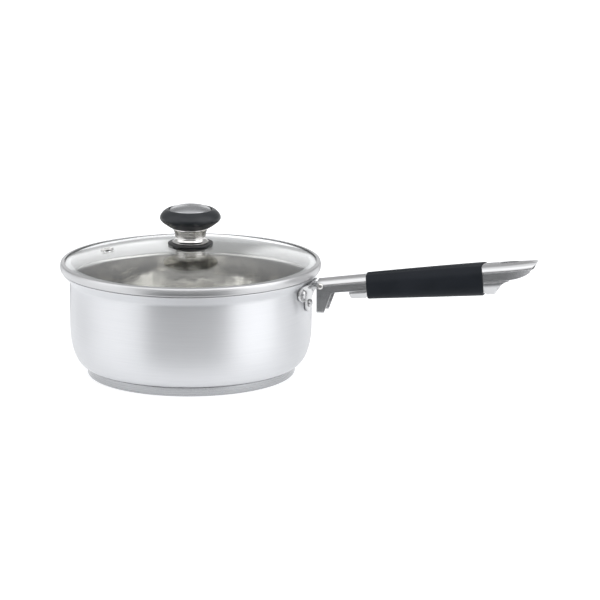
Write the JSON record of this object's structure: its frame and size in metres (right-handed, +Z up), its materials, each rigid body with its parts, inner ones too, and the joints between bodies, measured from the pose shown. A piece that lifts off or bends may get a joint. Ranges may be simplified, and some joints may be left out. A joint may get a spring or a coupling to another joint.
{
  "type": "saucepan with glass lid",
  "caption": "Round steel saucepan with flared lip, long riveted handle with a dark sleeve, and a domed glass lid with steel rim, vent and round knob.",
  "frame": {"origin": "middle of the base, on the surface that the pan stands on", "axes": "+Z up along the axis of the pan and the lid, +X along the handle away from the pan"},
  "size_m": [0.3843, 0.2066, 0.1353],
  "materials": {
    "satin_steel": "satin",
    "polished_steel": "polished",
    "core_aluminium": "matte",
    "insert_brass": "machined",
    "phenolic": "semi-gloss moulded",
    "silicone": "matte",
    "sleeve": "soft matte",
    "glass": "clear tempered"
  },
  "bodies": {
    "pan": {"pan_body": "satin_steel", "base_cap": "satin_steel", "base_core": "core_aluminium", "handle_bracket": "polished_steel", "bracket_rivet_1": "polished_steel", "bracket_rivet_2": "polished_steel", "bracket_rivet_3": "polished_steel", "root_rivet": "polished_steel", "handle_upper_shell": "polished_steel", "handle_lower_shell": "polished_steel", "handle_grip": "sleeve"},
    "lid_knob": {"knob_grip": "phenolic", "knob_cap": "polished_steel", "knob_stem": "polished_steel", "knob_insert": "insert_brass", "knob_screw": "polished_steel", "screw_washer": "polished_steel", "outer_gasket": "silicone", "inner_gasket": "silicone"},
    "lid_disc": {"lid_glass": "glass", "lid_rim": "polished_steel", "vent_eyelet": "polished_steel"}
  },
  "joints": [
    {"name": "lid_lift", "type": "slide", "parent": "pan", "child": "lid_knob", "axis": [0, 0, 1], "range_m": [0, 0.12]},
    {"name": "lid_turn", "type": "hinge", "parent": "lid_knob", "child": "lid_disc", "pos_m": [0, 0, 0.09], "axis": [0, 0, 1], "continuous": true}
  ]
}
